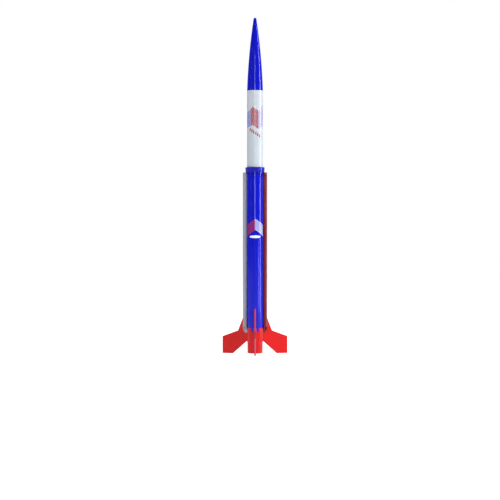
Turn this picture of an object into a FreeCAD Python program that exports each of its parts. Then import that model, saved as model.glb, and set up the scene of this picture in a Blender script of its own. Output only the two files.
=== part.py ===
import FreeCAD, Part
import math
import os

import Sketcher

# A slim flying model rocket, 524 mm tall, standing on the feet of its three fins.
# Millimetres, +Z up along the body axis, origin on that axis at the level of the fin feet.
# The front is -Y. Fins stand at the front and 120 degrees either side of it. A slim side tube runs
# up the body on the left and on the right, and two launch lugs are glued to its back.

doc = FreeCAD.newDocument("model_rocket")

# ---------------------------------------------------------------- driving dimensions

SIZES = {
    # body tubes, the standard 24.8 mm paper size
    "tube_radius": 12.4, "tube_bore": 12.05, "coupler_radius": 12.0, "coupler_bore": 11.65,
    "joint_height": 286.0, "tube_top": 410.5, "coupler_low": 262.0, "coupler_top": 310.0,
    # clearances: glued, pressed and touching faces, and how far a cutting tool runs past the work
    "glue_gap": 0.05, "press_gap": 0.03, "touch_gap": 0.02, "over": 1.0,
    # nose cone
    "nose_base": 410.6, "nose_tip": 524.4, "nose_tip_round": 2.3, "nose_side_arc": 986.0,
    "nose_shoulder_radius": 11.98, "nose_shoulder_low": 388.6, "nose_wall": 1.3,
    "hollow_low": 8.0, "hollow_middle": 52.0, "hollow_middle_radius": 7.69, "hollow_top": 18.0,
    "hollow_top_radius": 2.08, "hollow_tip": 16.0,
    "weight_low": 66.0, "weight_top": 80.0, "weight_low_radius": 5.2, "weight_top_radius": 3.7,
    # collar round the tube joint
    "collar_low": 283.05, "collar_top": 291.0, "collar_low_radius": 14.6, "collar_top_radius": 15.1,
    "collar_skirt_low": 278.6, "collar_skirt_radius": 13.5, "collar_edge": 1.2, "scallop_play": 0.2,
    # side tubes
    "side_radius": 3.2, "side_bore": 2.4, "side_offset": 15.65, "side_low": 33.0, "side_top": 283.0,
    "side_bevel": 10.5, "side_bevel_turn": 60.0, "plug_length": 6.0,
    # launch lugs, for a 3.2 mm rod
    "lug_radius": 2.4, "lug_bore": 1.9, "lug_offset": 14.85, "lug_length": 38.0, "lug_low_z": 92.0,
    "lug_top_z": 222.0,
    # fin can
    "can_low": 1.0, "can_top": 40.6, "can_tail_top": 18.7, "can_bore": 11.2, "can_edge_round": 1.6,
    "spigot_top": 60.0, "can_floor": 6.0, "can_mouth": 9.42, "tail_step": 0.35,
    "notch_width": 12.0, "notch_depth": 6.2, "notch_play": 0.05,
    # fins: radius and height of each corner
    "fin_root": 12.46, "fin_thickness": 2.6, "fin_edge": 0.85, "fin_span": 58.8,
    "strake_top": 71.0, "strake_mid_radius": 21.3, "strake_mid": 57.0,
    "fin_kink_radius": 30.6, "fin_kink": 36.0, "fin_tip_top": 26.5,
    "fin_foot_radius": 39.6, "fin_trail": 21.4,
    # motor mount, for the standard 18 x 70 mm motor
    "mount_radius": 9.35, "mount_bore": 9.05, "mount_low": 2.0, "mount_top": 82.0,
    "ring_low_z": 48.0, "ring_top_z": 74.0, "ring_thickness": 3.0,
    "thrust_low": 73.1, "thrust_length": 5.0, "thrust_bore": 6.2,
    # motor
    "motor_radius": 8.75, "motor_bore": 6.35, "motor_low": 3.0, "motor_length": 70.0,
    "tape_radius": 8.99, "tape_low": 12.0, "tape_length": 19.0,
    "nozzle_length": 13.0, "nozzle_mouth": 2.4, "nozzle_throat": 1.25, "mouth_length": 6.0,
    "throat_rise": 3.0, "grain_length": 28.0, "core_length": 7.0, "delay_length": 14.0,
    "charge_length": 8.0, "cap_length": 3.0, "fill_radius": 6.3,
    # igniter
    "lead_radius": 0.2, "lead_spread": 0.45, "lead_reach": 6.5, "lead_drop": 1.2, "lead_bend": 0.8,
    "igniter_plug_radius": 2.33, "igniter_plug_length": 5.2, "igniter_plug_rise": 0.3,
    "bead_radius": 0.95, "bead_z": 18.6,
    # nose plug, swivel and snap hook
    "base_plug_thickness": 3.0, "eyelet_ring": 2.6, "eyelet_wire": 0.7, "eyelet_z": 385.4,
    "eyelet_root": 0.5,
    "swivel_ring": 1.8, "swivel_wire": 0.45, "swivel_ring_z": 382.2, "barrel_radius": 1.7,
    "barrel_low": 374.0, "barrel_top": 380.1, "barrel_bore": 0.53, "barrel_cavity": 1.15,
    "barrel_end_radius": 1.2, "barrel_neck_radius": 0.8, "barrel_taper": 0.8, "barrel_end_wall": 1.4,
    "stem_head": 0.98, "stem_head_low": 1.6, "stem_head_length": 1.2, "stem_depth": 2.0,
    "hook_top": 371.6, "hook_low": 361.4, "hook_half": 1.9, "hook_wire": 0.45,
    "hook_bend": 0.9, "hook_round": 1.7, "latch_bend": 0.6, "latch_turn": 1.3, "latch_end": 0.4,
    "latch_reach": 1.1,
    # recovery gear
    "canopy_radius": 8.2, "canopy_low": 279.0, "canopy_top": 356.0, "line_radius": 8.9,
    "canopy_foot_radius": 5.7, "canopy_foot": 4.0, "canopy_shoulder": 14.0, "canopy_neck": 3.0,
    "line_low": 304.0, "line_top": 330.0,
    "wadding_radius": 11.3, "wadding_low": 218.0, "wadding_top": 258.0,
    "wadding_end_radius": 7.3, "wadding_round": 5.0,
    "cord_radius": 1.0, "cord_circle": 10.55, "coil_outer": 10.6, "coil_bore": 3.4,
    "coil_low": 263.2, "coil_top": 275.8,
    "card_low": 331.02, "card_length": 18.0, "card_width": 12.0, "card_thickness": 0.55,
    "lip_back": 9.6, "lip_width": 7.0, "lip_thickness": 1.6, "lip_length": 17.0,
    # stickers
    "sticker_radius": 12.42, "sticker_skin": 0.08,
    "upper_sticker_low": 338.5, "upper_sticker_length": 51.0, "upper_sticker_angle": 160.0,
    "lower_sticker_low": 179.0, "lower_sticker_length": 31.6, "lower_sticker_angle": 144.0,
}

sizes = doc.addObject("Spreadsheet::Sheet", "sizes")
for row, (alias, value) in enumerate(SIZES.items(), start=1):
    sizes.set(f"A{row}", alias)
    sizes.set(f"B{row}", str(value))
    sizes.setAlias(f"B{row}", alias)
doc.recompute()

FRONT = -90.0
FIN_ANGLES = {"fin_front": FRONT, "fin_right": 30.0, "fin_left": 150.0}
SIDE_ANGLES = {"side_tube_white": 180.0, "side_tube_red": 0.0}
REAR = 90.0
Z_AXIS = FreeCAD.Vector(0, 0, 1)
node_objects = []


def size(alias):
    """The value in the sheet's cell of that name."""
    return float(sizes.get(alias))


def bound(text):
    """An expression on the sheet: every alias in the text gets the sheet's name."""
    words = text.replace("(", " ( ").replace(")", " ) ").split()
    return " ".join(f"sizes.{word}" if word in SIZES else word for word in words)


def node(thing, label):
    """Names an object as one of the rocket's pieces."""
    thing.Label = label
    node_objects.append(thing)
    return thing


def turned_about_z(angle):
    return FreeCAD.Placement(FreeCAD.Vector(0, 0, 0), FreeCAD.Rotation(Z_AXIS, angle))


def beside(angle, offset="side_offset"):
    """A placement beside the body, turned so that its +X points away from the body's axis."""
    turn = FreeCAD.Rotation(Z_AXIS, angle)
    return FreeCAD.Placement(turn.multVec(FreeCAD.Vector(size(offset), 0, 0)), turn)


# ---------------------------------------------------------------- part primitives

def cylinder(name, radius, low, height):
    solid = doc.addObject("Part::Cylinder", name)
    solid.setExpression("Radius", bound(radius))
    solid.setExpression("Height", bound(height))
    solid.setExpression("Placement.Base.z", bound(low))
    return solid


def cut(base, tool, name):
    result = doc.addObject("Part::Cut", name)
    result.Base = base
    result.Tool = tool
    return result


def fuse(solids, name):
    result = doc.addObject("Part::MultiFuse", name)
    result.Shapes = solids
    return result


def tube(name, outer, bore, low, height):
    """A plain round tube on the body axis."""
    wall = cylinder(name + "_outside", outer, low, height)
    hole = cylinder(name + "_hole", bore, low + " - over", height + " + 2 * over")
    return cut(wall, hole, name)


# ---------------------------------------------------------------- part design helpers

def origin_plane(body, role):
    return next(f for f in body.Origin.OriginFeatures if f.Role == role)


def outline(body, name, corners, arcs=None, on_axis=(), role="XZ_Plane"):
    """A closed sketch whose corners are tied to the sheet. corners holds (x, y) expressions; arcs
    holds, for the side that starts at a corner's number, a radius expression and +1 or -1 for
    bulging to the left or the right of the way along the outline. Where on_axis lists that number
    the arc's centre is held on the vertical axis instead of by its radius, so it turns to a sphere."""
    arcs = arcs or {}
    sketch = body.newObject("Sketcher::SketchObject", name)
    sketch.AttachmentSupport = [(origin_plane(body, role), "")]
    sketch.MapMode = "FlatFace"
    points = []
    for x_text, y_text in corners:
        x_value = doc.sizes.evalExpression(bound(x_text))
        y_value = doc.sizes.evalExpression(bound(y_text))
        points.append(FreeCAD.Vector(float(x_value), float(y_value), 0))
    count = len(points)
    starts = []
    for i, start in enumerate(points):
        end = points[(i + 1) % count]
        if i in arcs:
            radius_text, side = arcs[i]
            radius = float(doc.sizes.evalExpression(bound(radius_text)))
            chord = end - start
            middle = (start + end) * 0.5
            across = FreeCAD.Vector(-chord.y, chord.x, 0).normalize()
            rise = math.sqrt(max(radius ** 2 - (chord.Length / 2) ** 2, 0.0))
            centre = middle - across * (rise * side)
            circle = Part.Circle(centre, Z_AXIS, radius)
            first = start if side < 0 else end
            last = end if side < 0 else start
            sketch.addGeometry(Part.ArcOfCircle(circle, circle.parameter(first), circle.parameter(last)))
            starts.append((1, 2) if side < 0 else (2, 1))
        else:
            sketch.addGeometry(Part.LineSegment(start, end))
            starts.append((1, 2))
    for i in range(count):
        follower = (i + 1) % count
        joined = Sketcher.Constraint("Coincident", i, starts[i][1], follower, starts[follower][0])
        sketch.addConstraint(joined)
    for i, (x_text, y_text) in enumerate(corners):
        for kind, value, text in (("DistanceX", points[i].x, x_text), ("DistanceY", points[i].y, y_text)):
            if abs(value) < 1e-9:
                axis = -2 if kind == "DistanceX" else -1
                sketch.addConstraint(Sketcher.Constraint("PointOnObject", i, starts[i][0], axis))
                continue
            index = sketch.addConstraint(Sketcher.Constraint(kind, -1, 1, i, starts[i][0], value))
            sketch.setExpression(f"Constraints[{index}]", bound(text))
    for i, (radius_text, _) in arcs.items():
        if i in on_axis:
            sketch.addConstraint(Sketcher.Constraint("PointOnObject", i, 3, -2))
            continue
        radius = float(doc.sizes.evalExpression(bound(radius_text)))
        index = sketch.addConstraint(Sketcher.Constraint("Radius", i, radius))
        sketch.setExpression(f"Constraints[{index}]", bound(radius_text))
    return sketch


def turned(label, corners, arcs=None, on_axis=()):
    """A body turned about Z from an outline of (radius, height) corners."""
    body = doc.addObject("PartDesign::Body", label)
    sketch = outline(body, label + "_profile", corners, arcs, on_axis)
    spin = body.newObject("PartDesign::Revolution", label + "_turning")
    spin.Profile = sketch
    spin.ReferenceAxis = (sketch, ["V_Axis"])
    spin.Angle = 360.0
    body.Tip = spin
    return body


# ---------------------------------------------------------------- swept wires and cords

def bend_radii(points):
    """For each corner of a cord's route, an arc that uses 0.45 of the shorter run beside it."""
    corners = [FreeCAD.Vector(*p) for p in points]
    radii = []
    for start, corner, end in zip(corners, corners[1:], corners[2:]):
        before = corner - start
        after = end - corner
        half_turn = before.getAngle(after) / 2
        radii.append(0.45 * min(before.Length, after.Length) / math.tan(half_turn))
    return radii


def round_wire(points, radius, bends):
    """A round bar along straight runs joined by tangent arcs. bends holds each corner's radius."""
    corners = [FreeCAD.Vector(*p) for p in points]
    edges = []
    last = corners[0]
    for i in range(1, len(corners) - 1):
        before = corners[i] - corners[i - 1]
        after = corners[i + 1] - corners[i]
        half_turn = before.getAngle(after) / 2
        bend = bends[i - 1]
        setback = bend * math.tan(half_turn)
        before.normalize()
        after.normalize()
        arc_start = corners[i] - before * setback
        arc_end = corners[i] + after * setback
        inward = (after - before).normalize()
        arc_middle = corners[i] + inward * (bend / math.cos(half_turn) - bend)
        edges.append(Part.LineSegment(last, arc_start).toShape())
        edges.append(Part.Arc(arc_start, arc_middle, arc_end).toShape())
        last = arc_end
    edges.append(Part.LineSegment(last, corners[-1]).toShape())
    path = Part.Wire(edges)
    direction = corners[1] - corners[0]
    section = Part.Wire([Part.Circle(corners[0], direction, radius).toShape()])
    solid = path.makePipeShell([section], True, False)
    expected = math.pi * radius ** 2 * path.Length
    if abs(solid.Volume - expected) > 0.02 * expected:
        raise ValueError(f"swept wire has volume {solid.Volume:.2f}, not {expected:.2f}")
    return solid


def feature(label, shape):
    piece = doc.addObject("Part::Feature", label)
    piece.Shape = shape
    return node(piece, label)


# ================================================================ airframe

def make_body_tubes():
    """Two paper tubes end to end on an inside coupler. The lower one has three tongues that
    fill the notches in the fin can's upper edge."""
    lower = tube("lower_tube_stock", "tube_radius", "tube_bore", "can_top - notch_depth",
                 "joint_height - can_top + notch_depth")
    waste = cylinder("lower_tube_waste", "tube_radius + over", "can_top - notch_depth - over",
                     "notch_depth + over")
    tongues = []
    for name, angle in FIN_ANGLES.items():
        tongue = doc.addObject("Part::Box", name + "_tongue")
        tongue.setExpression("Length", bound("tube_radius + 2 * over"))
        tongue.setExpression("Width", bound("notch_width - 2 * notch_play"))
        tongue.setExpression("Height", bound("notch_depth + 3 * over"))
        half = size("notch_width") / 2 - size("notch_play")
        turn = FreeCAD.Rotation(Z_AXIS, angle)
        corner = turn.multVec(FreeCAD.Vector(0, -half, 0))
        corner.z = size("can_top") - size("notch_depth") - 2 * size("over")
        tongue.Placement = FreeCAD.Placement(corner, turn)
        tongues.append(tongue)
    between = cut(waste, fuse(tongues, "tongues"), "between_tongues")
    node(cut(lower, between, "lower_body_tube"), "lower_body_tube")
    node(tube("upper_body_tube", "tube_radius", "tube_bore", "joint_height + glue_gap",
              "tube_top - joint_height - glue_gap"), "upper_body_tube")
    node(tube("tube_coupler", "coupler_radius", "coupler_bore", "coupler_low",
              "coupler_top - coupler_low"), "tube_coupler")


def make_collar():
    """The moulded ring over the tube joint. Its skirt reaches down between the side tubes."""
    ring = turned("collar_ring", [
        ("tube_radius + glue_gap", "collar_skirt_low"),
        ("collar_skirt_radius", "collar_skirt_low"),
        ("collar_skirt_radius", "collar_low"),
        ("collar_low_radius", "collar_low"),
        ("collar_top_radius", "collar_top - collar_edge"),
        ("collar_top_radius - collar_edge", "collar_top"),
        ("tube_radius + glue_gap", "collar_top"),
    ], {4: ("collar_edge", -1)})
    scallops = []
    for name, angle in SIDE_ANGLES.items():
        scallop = cylinder(name + "_scallop", "side_radius + scallop_play", "collar_skirt_low - over",
                           "collar_low - collar_skirt_low + over")
        spot = beside(angle).Base
        scallop.setExpression("Placement.Base.x", f"{spot.x:.4f}")
        scallop.setExpression("Placement.Base.y", f"{spot.y:.4f}")
        scallops.append(scallop)
    node(cut(ring, fuse(scallops, "scallops"), "body_collar"), "body_collar")


def make_side_tubes():
    """A slim tube on each side of the body. Its lower end is cut at a slant that faces forwards
    and outwards, so the open end can be seen from the front."""
    radius = size("side_radius")
    low = size("side_low")
    over = size("over")
    slope = size("side_bevel") / (2 * radius)
    high = low + size("side_bevel") + slope * over
    for label, angle in SIDE_ANGLES.items():
        stock = tube(label + "_stock", "side_radius", "side_bore", "side_low", "side_top - side_low")
        corners = [(-radius, low), (radius + over, high), (radius + over, low - over), (-radius, low - over)]
        outline_points = [FreeCAD.Vector(x, -radius - over, z) for x, z in corners + corners[:1]]
        depth = FreeCAD.Vector(0, 2 * (radius + over), 0)
        wedge = doc.addObject("Part::Feature", label + "_slant")
        wedge.Shape = Part.Face(Part.makePolygon(outline_points)).extrude(depth)
        towards_front = size("side_bevel_turn") * (1 if angle == 180 else -1)
        wedge.Placement = turned_about_z(towards_front)
        piece = cut(stock, wedge, label)
        piece.Placement = beside(angle)
        node(piece, label)


def make_side_fittings():
    """Plugs in the tops of the two side tubes, and the two launch lugs on the back of the body."""
    plugs = []
    for name, angle in SIDE_ANGLES.items():
        plug = cylinder(name + "_plug", "side_bore - touch_gap", "side_top - plug_length", "plug_length")
        spot = beside(angle).Base
        plug.setExpression("Placement.Base.x", f"{spot.x:.4f}")
        plug.setExpression("Placement.Base.y", f"{spot.y:.4f}")
        plugs.append(plug)
    group = doc.addObject("Part::Compound", "side_tube_plugs")
    group.Links = plugs
    node(group, "side_tube_plugs")
    for label, low in (("launch_lug_lower", "lug_low_z"), ("launch_lug_upper", "lug_top_z")):
        lug = tube(label, "lug_radius", "lug_bore", low, "lug_length")
        lug.Placement = beside(REAR, "lug_offset")
        node(lug, label)


def make_fin_can():
    """The moulded tail: a can flush with the body, a spigot up into it, and a floor with the
    motor's mouth."""
    can = turned("can_body", [
        ("can_mouth", "can_low"),
        ("tube_radius - tail_step - can_edge_round", "can_low"),
        ("tube_radius - tail_step", "can_low + can_edge_round"),
        ("tube_radius - tail_step", "can_tail_top"),
        ("tube_radius", "can_tail_top + tail_step"),
        ("tube_radius", "can_top"),
        ("coupler_radius", "can_top"),
        ("coupler_radius", "spigot_top"),
        ("can_bore", "spigot_top"),
        ("can_bore", "can_floor"),
        ("can_mouth", "can_floor"),
    ], {1: ("can_edge_round", -1)})
    notches = []
    for name, angle in FIN_ANGLES.items():
        notch = doc.addObject("Part::Box", name + "_notch")
        notch.setExpression("Length", bound("tube_radius + 2 * over"))
        notch.setExpression("Width", bound("notch_width"))
        notch.setExpression("Height", bound("notch_depth"))
        turn = FreeCAD.Rotation(Z_AXIS, angle)
        corner = turn.multVec(FreeCAD.Vector(0, -size("notch_width") / 2, 0))
        corner.z = size("can_top") - size("notch_depth")
        notch.Placement = FreeCAD.Placement(corner, turn)
        notches.append(notch)
    core = cylinder("can_notch_core", "coupler_radius", "can_top - notch_depth - over",
                    "notch_depth + 2 * over")
    node(cut(can, cut(fuse(notches, "notches"), core, "notch_cuts"), "fin_can"), "fin_can")


def make_fins():
    """Three fins, each a swept strake running up the body and a clipped blade with a flat foot.
    Every free edge is chamfered on both faces."""
    for label, angle in FIN_ANGLES.items():
        body = doc.addObject("PartDesign::Body", label)
        sketch = outline(body, label + "_outline", [
            ("fin_root", "fin_trail"),
            ("fin_foot_radius", "0"),
            ("fin_span", "0"),
            ("fin_span", "fin_tip_top"),
            ("fin_kink_radius", "fin_kink"),
            ("strake_mid_radius", "strake_mid"),
            ("fin_root", "strake_top"),
        ])
        pad = body.newObject("PartDesign::Pad", label + "_plate")
        pad.Profile = sketch
        pad.setExpression("Length", bound("fin_thickness"))
        pad.Midplane = True
        body.Tip = pad
        doc.recompute()
        half = size("fin_thickness") / 2
        edges = []
        for i, edge in enumerate(pad.Shape.Edges, start=1):
            ends = [v.Point for v in edge.Vertexes]
            flat = all(abs(abs(p.y) - half) < 1e-6 for p in ends) and abs(ends[0].y - ends[1].y) < 1e-6
            at_root = all(p.x < size("fin_root") + 1e-6 for p in ends)
            at_foot = all(abs(p.z) < 1e-6 for p in ends)
            if flat and not at_root and not at_foot:
                edges.append(f"Edge{i}")
        bevel = body.newObject("PartDesign::Chamfer", label + "_edges")
        bevel.Base = (pad, edges)
        bevel.setExpression("Size", bound("fin_edge"))
        body.Tip = bevel
        body.Placement = turned_about_z(angle)
        node(body, label)


def make_motor_mount():
    node(tube("motor_tube", "mount_radius", "mount_bore", "mount_low", "mount_top - mount_low"), "motor_tube")
    node(tube("thrust_ring", "mount_bore - press_gap", "thrust_bore", "thrust_low",
              "thrust_length"), "thrust_ring")
    node(tube("centering_ring_aft", "can_bore - press_gap", "mount_radius + press_gap", "ring_low_z",
              "ring_thickness"), "centering_ring_aft")
    node(tube("centering_ring_forward", "tube_bore - press_gap", "mount_radius + press_gap", "ring_top_z",
              "ring_thickness"), "centering_ring_forward")


def sticker(label, low, height, angle):
    """A thin curved label on the front of the body."""
    skin = []
    past = 2 * size("over")
    for name, radius, extra in (("_face", "sticker_radius + sticker_skin", 0.0),
                                ("_back", "sticker_radius", past)):
        solid = cylinder(label + name, radius, f"{low} - {extra / 2}", f"{height} + {extra}")
        solid.setExpression("Angle", bound(f"{angle} + {extra}"))
        turn = FRONT - (size(angle) + extra) / 2
        solid.Placement = FreeCAD.Placement(FreeCAD.Vector(0, 0, size(low) - extra / 2),
                                            FreeCAD.Rotation(Z_AXIS, turn))
        solid.setExpression("Placement.Base.z", bound(f"{low} - {extra / 2}"))
        skin.append(solid)
    node(cut(skin[0], skin[1], label), label)


# ================================================================ nose, swivel and recovery gear

def make_nose():
    """A hollow blow-moulded cone: a blunt tip, one long side arc and a shoulder for the tube."""
    tip_angle = math.radians(10)
    round_x = f"nose_tip_round * {math.cos(tip_angle):.6f}"
    round_y = f"nose_tip - nose_tip_round * {1 - math.sin(tip_angle):.6f}"
    cone = turned("nose_cone", [
        ("nose_shoulder_radius - nose_wall", "nose_shoulder_low"),
        ("nose_shoulder_radius", "nose_shoulder_low"),
        ("nose_shoulder_radius", "nose_base"),
        ("tube_radius", "nose_base"),
        (round_x, round_y),
        ("0", "nose_tip"),
        ("0", "nose_tip - hollow_tip"),
        ("hollow_top_radius", "nose_tip - hollow_top"),
        ("hollow_middle_radius", "nose_base + hollow_middle"),
        ("nose_shoulder_radius - nose_wall", "nose_base + hollow_low"),
    ], {3: ("nose_side_arc", -1), 4: ("nose_tip_round", -1)}, on_axis=[4])
    node(cone, "nose_cone")
    weight = turned("nose_weight", [
        ("0", "nose_base + weight_low"),
        ("weight_low_radius", "nose_base + weight_low"),
        ("weight_top_radius", "nose_base + weight_top"),
        ("0", "nose_base + weight_top"),
    ])
    node(weight, "nose_weight")


def make_nose_plug():
    disc = cylinder("plug_disc", "nose_shoulder_radius - nose_wall - press_gap", "nose_shoulder_low",
                    "base_plug_thickness")
    eyelet = doc.addObject("Part::Torus", "plug_eyelet")
    eyelet.setExpression("Radius1", bound("eyelet_ring"))
    eyelet.setExpression("Radius2", bound("eyelet_wire"))
    eyelet.Placement = FreeCAD.Placement(FreeCAD.Vector(0, 0, size("eyelet_z")),
                                         FreeCAD.Rotation(FreeCAD.Vector(1, 0, 0), 90))
    eyelet.setExpression("Placement.Base.z", bound("eyelet_z"))
    neck = cylinder("plug_neck", "eyelet_ring - eyelet_wire", "eyelet_z + eyelet_ring - eyelet_wire / 2",
                    "nose_shoulder_low - eyelet_z - eyelet_ring + eyelet_wire / 2 + eyelet_root")
    node(fuse([disc, eyelet, neck], "nose_cone_plug"), "nose_cone_plug")


def make_swivel():
    """A barrel swivel. Its upper ring hangs in the eyelet; the hook's stem turns in its bore."""
    ring = doc.addObject("Part::Torus", "swivel_ring_wire")
    ring.setExpression("Radius1", bound("swivel_ring"))
    ring.setExpression("Radius2", bound("swivel_wire"))
    ring.Placement = FreeCAD.Placement(FreeCAD.Vector(0, 0, size("swivel_ring_z")),
                                       FreeCAD.Rotation(FreeCAD.Vector(0, 1, 0), 90))
    ring.setExpression("Placement.Base.z", bound("swivel_ring_z"))
    barrel = turned("swivel_case", [
        ("barrel_bore", "barrel_low"),
        ("barrel_end_radius", "barrel_low"),
        ("barrel_radius", "barrel_low + barrel_taper"),
        ("barrel_radius", "barrel_top - barrel_taper"),
        ("barrel_neck_radius", "barrel_top"),
        ("0", "barrel_top"),
        ("0", "barrel_top - barrel_end_wall"),
        ("barrel_cavity", "barrel_top - barrel_end_wall"),
        ("barrel_cavity", "barrel_low + barrel_end_wall"),
        ("barrel_bore", "barrel_low + barrel_end_wall"),
    ])
    node(fuse([ring, barrel], "swivel_barrel"), "swivel_barrel")


def make_snap_hook():
    """One bent wire: a stem with a round head inside the barrel, then down one side, round the
    bottom and up the other side to a free end that latches beside the stem."""
    half = size("hook_half")
    top = size("hook_top")
    low = size("hook_low")
    route = [(0, 0, size("barrel_low") + size("stem_depth")), (0, 0, top), (-half, 0, top - half),
             (-half, 0, low), (half, 0, low), (half, 0, top - size("latch_turn")),
             (size("latch_reach"), 0, top - size("latch_end"))]
    bend = size("hook_bend")
    round_end = size("hook_round")
    bends = [bend, bend, round_end, round_end, size("latch_bend")]
    wire = doc.addObject("Part::Feature", "hook_wire_bent")
    wire.Shape = round_wire(route, size("hook_wire"), bends)
    head = cylinder("hook_head", "stem_head", "barrel_low + stem_head_low", "stem_head_length")
    node(fuse([wire, head], "snap_hook"), "snap_hook")


def make_parachute():
    """The folded and rolled canopy, with its lines wound round it, as plain solids."""
    canopy = turned("parachute", [
        ("0", "canopy_low"),
        ("canopy_foot_radius", "canopy_low"),
        ("canopy_radius", "canopy_low + canopy_foot"),
        ("canopy_radius", "canopy_top - canopy_shoulder"),
        ("canopy_neck", "canopy_top"),
        ("0", "canopy_top"),
    ])
    node(canopy, "parachute")
    node(tube("shroud_lines", "line_radius", "canopy_radius + touch_gap", "line_low",
              "line_top - line_low"), "shroud_lines")


def make_wadding():
    wad = turned("recovery_wadding", [
        ("0", "wadding_low"),
        ("wadding_end_radius", "wadding_low"),
        ("wadding_radius", "wadding_low + wadding_round"),
        ("wadding_radius", "wadding_top - wadding_round"),
        ("wadding_end_radius", "wadding_top"),
        ("0", "wadding_top"),
    ])
    node(wad, "recovery_wadding")


# the elastic shock cord's two free stretches: (x, y, z), each either side of the coil
def anchor_route():
    radius = size("cord_circle")
    top = size("coil_top")
    return [(0, radius, 331), (0, radius, 318), (0.5, radius, 304), (-0.5, radius, 290),
            (0, radius, top + 0.1)]


def nose_route():
    radius = size("cord_circle")
    top = size("coil_top")
    return [(0, -radius, top + 0.4), (0.6, -radius, 295), (-0.6, -radius, 318), (0.4, -radius, 341),
            (0, -radius, 362), (0.4, -radius + 2.6, 374), (0.9, -5.2, 380), (1.5, -2.2, 383.6)]


def make_shock_cord():
    """A round elastic cord from the tube's wall to the nose plug, its spare length coiled under
    the parachute, and the folded card that glues its lower end to the tube."""
    card = tube("card_stock", "tube_bore - glue_gap", "tube_bore - glue_gap - card_thickness",
                "card_low", "card_length")
    keep = doc.addObject("Part::Box", "card_keep")
    keep.setExpression("Length", bound("card_width"))
    keep.setExpression("Width", bound("tube_bore"))
    keep.setExpression("Height", bound("card_length + 2 * over"))
    keep.Placement.Base = FreeCAD.Vector(-size("card_width") / 2, 0, size("card_low") - size("over"))
    lip = doc.addObject("Part::Box", "card_lip")
    lip.setExpression("Length", bound("lip_width"))
    lip.setExpression("Width", bound("lip_thickness"))
    lip.setExpression("Height", bound("lip_length"))
    lip.Placement.Base = FreeCAD.Vector(-size("lip_width") / 2, size("lip_back"), size("card_low"))
    strip = doc.addObject("Part::Common", "card_strip")
    strip.Base = card
    strip.Tool = keep
    node(fuse([strip, lip], "shock_cord_mount"), "shock_cord_mount")
    node(tube("shock_cord_coil", "coil_outer", "coil_bore", "coil_low", "coil_top - coil_low"),
         "shock_cord_coil")
    for label, route in (("shock_cord_anchor_run", anchor_route()), ("shock_cord_nose_run", nose_route())):
        bends = bend_radii(route)
        print(label, "bend radii", [round(bend, 1) for bend in bends])
        feature(label, round_wire(route, size("cord_radius"), bends))


# ================================================================ motor and igniter

def make_motor():
    """A single-use paper-cased motor: clay nozzle, propellant, delay, ejection charge, clay cap."""
    node(tube("motor_casing", "motor_radius", "motor_bore", "motor_low", "motor_length"), "motor_casing")
    node(tube("motor_tape", "tape_radius", "motor_radius + touch_gap", "tape_low",
              "tape_length"), "motor_tape")
    nozzle = turned("motor_nozzle", [
        ("nozzle_mouth", "motor_low"),
        ("fill_radius", "motor_low"),
        ("fill_radius", "motor_low + nozzle_length"),
        ("nozzle_throat", "motor_low + nozzle_length"),
        ("nozzle_throat", "motor_low + mouth_length + throat_rise"),
        ("nozzle_mouth", "motor_low + mouth_length"),
    ])
    node(nozzle, "motor_nozzle")
    grain_low = "motor_low + nozzle_length + touch_gap"
    core_top = "motor_low + nozzle_length + core_length"
    grain_top = "motor_low + nozzle_length + grain_length"
    grain = turned("propellant_grain", [
        ("nozzle_throat", grain_low),
        ("fill_radius", grain_low),
        ("fill_radius", grain_top),
        ("0", grain_top),
        ("0", core_top),
        ("nozzle_throat", core_top),
    ])
    node(grain, "propellant_grain")
    stack = grain_top
    for label, length in (("delay_grain", "delay_length"), ("ejection_charge", "charge_length"),
                          ("motor_end_cap", "cap_length")):
        slug = cylinder(label, "fill_radius", stack + " + touch_gap", length + " - touch_gap")
        node(slug, label)
        stack = stack + " + " + length


def make_igniter():
    """Two bare leads through a plastic plug, a bead of pyrogen on their upper ends."""
    low = size("motor_low") - size("lead_drop")
    top = size("bead_z") - size("bead_radius") - size("touch_gap")
    leads = []
    for side in (-1, 1):
        x = side * size("lead_spread")
        route = [(x, 0, top), (x, 0, low), (side * size("lead_reach"), 0, low)]
        leads.append(round_wire(route, size("lead_radius"), [size("lead_bend")]))
    feature("igniter_leads", Part.makeCompound(leads))
    bead = doc.addObject("Part::Sphere", "igniter_bead")
    bead.setExpression("Radius", bound("bead_radius"))
    bead.setExpression("Placement.Base.z", bound("bead_z"))
    node(bead, "igniter_bead")
    stock = cylinder("igniter_plug_stock", "igniter_plug_radius", "motor_low + igniter_plug_rise",
                     "igniter_plug_length")
    holes = []
    for side in (-1, 1):
        hole = cylinder(f"igniter_plug_hole_{side + 2}", "lead_radius + press_gap", "motor_low - over",
                        "igniter_plug_length + 3 * over")
        hole.setExpression("Placement.Base.x", bound(f"{side} * lead_spread"))
        holes.append(hole)
    node(cut(stock, fuse(holes, "igniter_plug_holes"), "igniter_plug"), "igniter_plug")


# ================================================================ the whole rocket

make_body_tubes()
make_collar()
make_side_tubes()
make_side_fittings()
make_fin_can()
make_fins()
make_motor_mount()
sticker("upper_sticker", "upper_sticker_low", "upper_sticker_length", "upper_sticker_angle")
sticker("lower_sticker", "lower_sticker_low", "lower_sticker_length", "lower_sticker_angle")
make_nose()
make_nose_plug()
make_swivel()
make_snap_hook()
make_parachute()
make_wadding()
make_shock_cord()
make_motor()
make_igniter()
doc.recompute()

failed = [o.Label for o in doc.Objects if "Invalid" in o.State or "Error" in o.State]
if failed:
    raise RuntimeError(f"failed objects: {failed}")
for piece in node_objects:
    if piece.Shape.isNull() or not piece.Shape.isValid():
        raise RuntimeError(f"{piece.Label} has no valid shape")

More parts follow.
